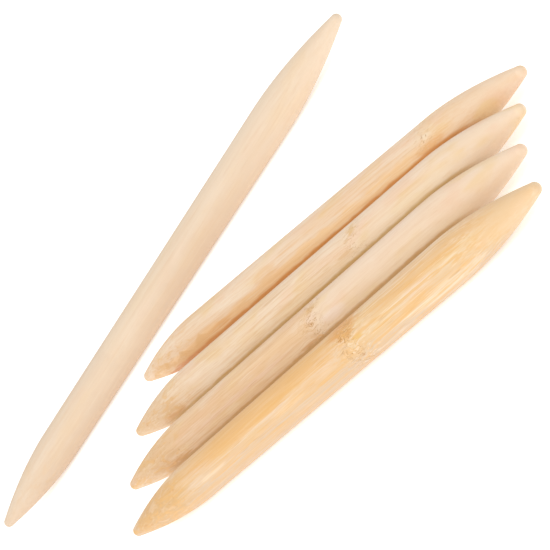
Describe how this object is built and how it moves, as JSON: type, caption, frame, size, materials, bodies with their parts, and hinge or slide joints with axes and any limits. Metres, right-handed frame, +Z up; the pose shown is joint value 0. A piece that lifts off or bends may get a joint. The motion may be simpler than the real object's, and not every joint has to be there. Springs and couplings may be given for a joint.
{
  "type": "double-pointed knitting needles",
  "caption": "Set of straight bamboo knitting needles, each a round rod that tapers to a blunt rounded point at both ends, for knitting in the round.",
  "frame": {"origin": "centre of the set's box seen from above, on the surface the needles lie on", "axes": "+X along the four needles that lie side by side, +Y towards the needle that lies apart, +Z up"},
  "size_m": [0.312, 0.1088, 0.01],
  "materials": {
    "bamboo_pale": "satin, almost without grain",
    "bamboo_warm": "satin",
    "bamboo_cream": "satin",
    "bamboo_tan": "satin",
    "bamboo_golden": "satin, with strong golden fibres"
  },
  "bodies": {
    "stitch_needle_2": {"stitch_needle_2": "bamboo_cream"},
    "working_needle": {"working_needle": "bamboo_pale"},
    "stitch_needle_1": {"stitch_needle_1": "bamboo_warm"},
    "stitch_needle_3": {"stitch_needle_3": "bamboo_tan"},
    "stitch_needle_4": {"stitch_needle_4": "bamboo_golden"}
  },
  "joints": [
    {"name": "working_needle_lift", "type": "slide", "parent": "stitch_needle_2", "child": "working_needle", "axis": [0, 0, 1], "range_m": [0, 0.06]},
    {"name": "stitch_needle_1_lift", "type": "slide", "parent": "stitch_needle_2", "child": "stitch_needle_1", "axis": [0, 0, 1], "range_m": [0, 0.06]},
    {"name": "stitch_needle_3_lift", "type": "slide", "parent": "stitch_needle_2", "child": "stitch_needle_3", "axis": [0, 0, 1], "range_m": [0, 0.06]},
    {"name": "stitch_needle_4_lift", "type": "slide", "parent": "stitch_needle_2", "child": "stitch_needle_4", "axis": [0, 0, 1], "range_m": [0, 0.06]}
  ]
}
